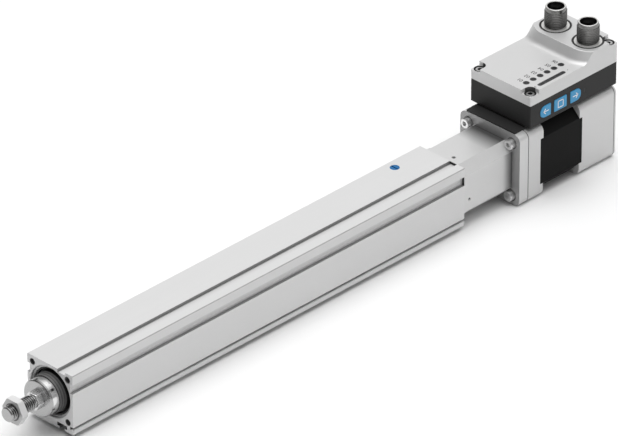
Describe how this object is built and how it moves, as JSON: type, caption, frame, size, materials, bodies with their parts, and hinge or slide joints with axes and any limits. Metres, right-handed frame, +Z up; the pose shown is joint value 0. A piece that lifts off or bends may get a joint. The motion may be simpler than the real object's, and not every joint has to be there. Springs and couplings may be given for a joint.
{
  "type": "electric cylinder",
  "caption": "Compact electric cylinder: square aluminium profile, round piston rod with threaded stud, and an in-line stepper motor with a drive box on top.",
  "frame": {"origin": "centre of the profile's front face, on the rod's axis", "axes": "+X along the axis from the front face to the motor, +Z up towards the drive box, -Y the side with the keys"},
  "size_m": [0.4191, 0.0426, 0.0826],
  "materials": {
    "extrusion": "satin anodised",
    "cap": "turned",
    "bronze": "plain",
    "black_rubber": "matt",
    "blue_plastic": "satin",
    "black_plastic": "fine texture",
    "black_glass": "glossy",
    "cast_aluminium": "blasted",
    "machined": "milled",
    "steel": "ground",
    "polished_steel": "polished",
    "dark_steel": "blackened",
    "laminations": "lacquered",
    "copper": "enamelled",
    "magnet": "plain",
    "nickel": "nickel plated",
    "gold": "plated",
    "board": "solder mask",
    "white_plastic": "plain",
    "red_rubber": "matt"
  },
  "bodies": {
    "housing": {"profile_tube": "extrusion", "bearing_cap": "cap", "rod_bush": "bronze", "rod_wiper": "black_rubber", "end_seal": "black_rubber", "service_plug": "blue_plastic", "end_buffers": "black_rubber", "coupling_housing": "machined", "set_screws": "dark_steel", "bearing_outer_ring": "steel", "bearing_balls": "polished_steel", "bearing_retainer": "steel", "motor_front_bearing": "steel", "motor_rear_bearing": "steel", "motor_front_cover": "cast_aluminium", "stator_pack": "laminations", "motor_windings": "copper", "motor_rear_cover": "cast_aluminium", "flange_screws": "steel", "tie_screws": "steel", "encoder_board": "board", "box_foot": "black_rubber", "drive_base": "black_plastic", "drive_cover": "cast_aluminium", "cover_seal": "black_rubber", "cover_screws": "steel", "circuit_board": "board", "board_parts": "white_plastic", "power_connector": "nickel", "logic_connector": "nickel", "connector_inserts": "black_plastic", "connector_pins": "gold", "connector_rings": "black_rubber", "lamp_windows": "black_glass", "level_window": "black_glass", "status_window": "black_glass", "key_switches": "black_plastic"},
    "rod": {"piston_rod": "polished_steel", "rod_end": "polished_steel", "rod_nut": "steel", "carriage": "machined", "spindle_nut": "steel", "guide_ring": "white_plastic", "magnet_ring": "magnet"},
    "spindle": {"spindle": "steel", "bearing_inner_ring": "steel", "spindle_lock_nut": "steel", "spindle_tip_bush": "white_plastic", "coupling_hub_spindle": "machined", "coupling_hub_motor": "machined", "coupling_spider": "red_rubber", "coupling_screws": "dark_steel", "motor_shaft": "polished_steel", "motor_rotor": "laminations", "encoder_magnet": "magnet"},
    "key_back": {"key_back": "blue_plastic"},
    "key_edit": {"key_edit": "blue_plastic"},
    "key_forward": {"key_forward": "blue_plastic"}
  },
  "joints": [
    {"name": "rod_slide", "type": "slide", "parent": "housing", "child": "rod", "axis": [-1, 0, 0], "range_m": [0, 0.2]},
    {"name": "spindle_spin", "type": "hinge", "parent": "housing", "child": "spindle", "pos_m": [0.15, 0, 0], "axis": [1, 0, 0], "range_deg": [0, 9000]},
    {"name": "key_back_press", "type": "slide", "parent": "housing", "child": "key_back", "axis": [0, 1, 0], "range_m": [0, 0.0004], "stiffness_N_per_m": 600},
    {"name": "key_edit_press", "type": "slide", "parent": "housing", "child": "key_edit", "axis": [0, 1, 0], "range_m": [0, 0.0004], "stiffness_N_per_m": 600},
    {"name": "key_forward_press", "type": "slide", "parent": "housing", "child": "key_forward", "axis": [0, 1, 0], "range_m": [0, 0.0004], "stiffness_N_per_m": 600}
  ],
  "couplings": [
    {"joint": "spindle_spin", "follows": "rod_slide", "rad_per_m": 785.4}
  ]
}
